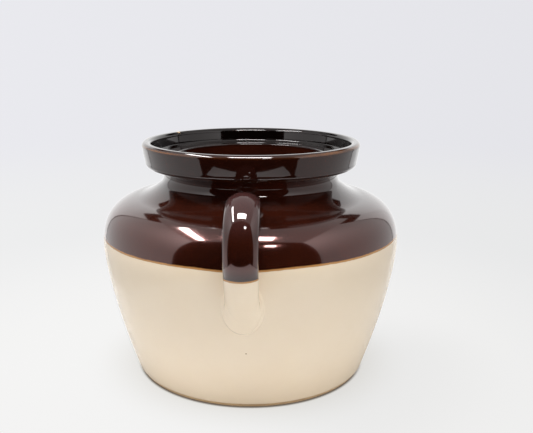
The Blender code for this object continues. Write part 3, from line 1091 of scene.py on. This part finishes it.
def light_tent():
    """The tent that the crock mirrors: two rows of lamps in its ceiling and one outside its front, and
    on each side a wall, a narrow dark gap and then the pale sweep that closes the back."""
    whole = (-TENT, TENT)
    lamp = light_material("lamps", LAMP_RADIANCE)
    flat_card("tent_ceiling", whole, whole, TENT_HEIGHT, light_material("ceiling", CEILING_GLOW))
    flat_card("lamps_left", *LAMPS_LEFT, TENT_HEIGHT - MM, lamp)
    flat_card("lamps_front", *LAMPS_FRONT, TENT_HEIGHT - MM, lamp)
    flat_card("lamp_outside", *LAMP_OUTSIDE, TENT_HEIGHT, lamp)
    left = light_material("left wall", LEFT_GLOW, LEFT_RISE)
    right = light_material("right wall", RIGHT_GLOW, RIGHT_RISE)
    side_card("tent_left", -TENT, (-TENT, WALL_END), (0.0, TENT_HEIGHT), left)
    side_card("tent_right", TENT, (-TENT, WALL_END), (0.0, TENT_HEIGHT), right)
    sweep_left = light_material("sweep left", SWEEP_LEFT_GLOW)
    sweep_right = light_material("sweep right", SWEEP_RIGHT_GLOW)
    side_card("sweep_left", -TENT, (SWEEP_START, TENT_BACK), (0.0, SWEEP_TOP), sweep_left)
    side_card("sweep_right", TENT, (SWEEP_START, TENT_BACK), (0.0, SWEEP_TOP), sweep_right)
    foot = [(-TENT, TENT_BACK, 0.0), (TENT, TENT_BACK, 0.0)]
    top = [(TENT, TENT_BACK, SWEEP_TOP), (-TENT, TENT_BACK, SWEEP_TOP)]
    stage_piece("sweep_back", foot + top, sweep_left)


def shade_to_the_right(tree, x, distance):
    """Painted shade: how the pale room darkens a little towards +X."""
    return minus(tree, 1.0, times(tree, maths(tree, "DIVIDE", x, distance), SIDE_SHADE))


def floor_material():
    """A pale floor that glows evenly, with painted soft shade where the crock is close, a painted dark
    line of contact shadow at its foot and a painted shadow beside it on its right, and that far off is
    the colour of the pale room."""
    material, tree, place, (x, y, _) = new_material("pale floor")
    distance = vectors(tree, "LENGTH", place).outputs["Value"]
    colour = blend_colours(tree, ramp(tree, distance, *MIDDLE_FROM), FLOOR_NEAR, FLOOR_MIDDLE)
    colour = blend_colours(tree, ramp(tree, distance, *ROOM_FROM), colour, (*PALE, 1.0))
    soft = add_node(tree, "AmbientOcclusion", {"Distance": SHADE_REACH}).outputs["AO"]
    close = add_node(tree, "AmbientOcclusion", {"Distance": CONTACT_SHADOW_REACH}).outputs["AO"]
    colour = blend_colours(tree, ramp(tree, soft, 0.15, 0.80), FLOOR_SHADE, colour)
    # Painted contact shadow: a dark line where the foot meets the floor, strongest in front
    contact_shadow = minus(tree, 1.0, ramp(tree, close, 0.20, 0.80))
    contact_shadow = times(tree, contact_shadow, plus(tree, ramp(tree, y, 20 * MM, -60 * MM), 0.25))
    colour = blend_colours(tree, clamped(tree, contact_shadow), colour, FLOOR_CONTACT_SHADOW)
    # Painted shadow on the floor to the right of the crock
    beside = times(tree, ramp(tree, x, -20 * MM, 80 * MM), ramp(tree, distance, 200 * MM, 110 * MM))
    shadow_behind = times(tree, beside, ramp(tree, y, 100 * MM, 0.0))
    light = minus(tree, 1.0, times(tree, shadow_behind, BEHIND_SHADE))
    light = times(tree, light, shade_to_the_right(tree, x, plus(tree, distance, 0.3)))
    glow = add_node(tree, "Emission", {"Color": colour, "Strength": light})
    add_node(tree, "OutputMaterial", {"Surface": glow.outputs[0]})
    return material


def white_floor():
    """The tent's floor, which lights and is mirrored by the crock, under the floor that the camera sees."""
    white, tree, _, _ = new_material("white floor")
    matt = add_node(tree, "BsdfDiffuse", {"Color": FLOOR_WHITE})
    add_node(tree, "OutputMaterial", {"Surface": matt.outputs[0]})
    flat_card("tent_floor", (-TENT, TENT), (TENT_FRONT, TENT_BACK), TENT_FLOOR_LEVEL, white)
    whole = (-FLOOR_REACH, FLOOR_REACH)
    floor = flat_card("floor", whole, whole, FLOOR_LEVEL, floor_material())
    floor.visible_camera = True
    floor.visible_diffuse = False
    floor.visible_glossy = False
    floor.visible_shadow = False


def pale_room():
    """The room as the camera sees it past the floor; it lights nothing."""
    world = bpy.data.worlds.new("pale room")
    world.use_nodes = True
    tree = world.node_tree
    tree.nodes.clear()
    direction = add_node(tree, "TexCoord").outputs["Generated"]
    x = add_node(tree, "SeparateXYZ", {0: direction}).outputs[0]
    glow = add_node(tree, "Background", {"Color": (*PALE, 1.0), "Strength": shade_to_the_right(tree, x, 1.0)})
    add_node(tree, "OutputWorld", {"Surface": glow.outputs[0]})
    world.cycles_visibility.diffuse = False
    world.cycles_visibility.glossy = False
    world.cycles_visibility.transmission = False
    world.cycles_visibility.scatter = False
    bpy.context.scene.world = world


def soft_fill(name, x, y, turn, power):
    """A large soft light, too wide and even to be mirrored as a shape."""
    lamp = bpy.data.lights.new(name, "AREA")
    lamp.shape = "RECTANGLE"
    lamp.size, lamp.size_y = FILL_SIZE
    lamp.energy = power
    fill = bpy.data.objects.new(name, lamp)
    bpy.context.scene.collection.objects.link(fill)
    fill.location = (x, y, FILL_HEIGHT)
    fill.rotation_euler = (FILL_TILT, 0.0, math.radians(turn))
    fill.visible_glossy = False
    fill.visible_camera = False


def aim_camera():
    camera = bpy.data.cameras.new("camera")
    camera.sensor_width = SENSOR
    camera.lens = LENS
    camera.shift_x = SHIFT
    camera.clip_start = 0.01
    camera.clip_end = 50.0
    eye = bpy.data.objects.new("camera", camera)
    bpy.context.scene.collection.objects.link(eye)
    aside = CAMERA_DISTANCE * math.sin(CAMERA_AROUND)
    eye.location = (aside, -CAMERA_DISTANCE * math.cos(CAMERA_AROUND), CAMERA_HEIGHT)
    eye.rotation_euler = (math.pi / 2 - CAMERA_DOWN, 0.0, CAMERA_AROUND)
    bpy.context.scene.camera = eye


build_crock()
white_floor()
light_tent()
for fill in FILLS:
    soft_fill(*fill)
pale_room()
aim_camera()
bpy.context.scene.view_settings.view_transform = "Standard"
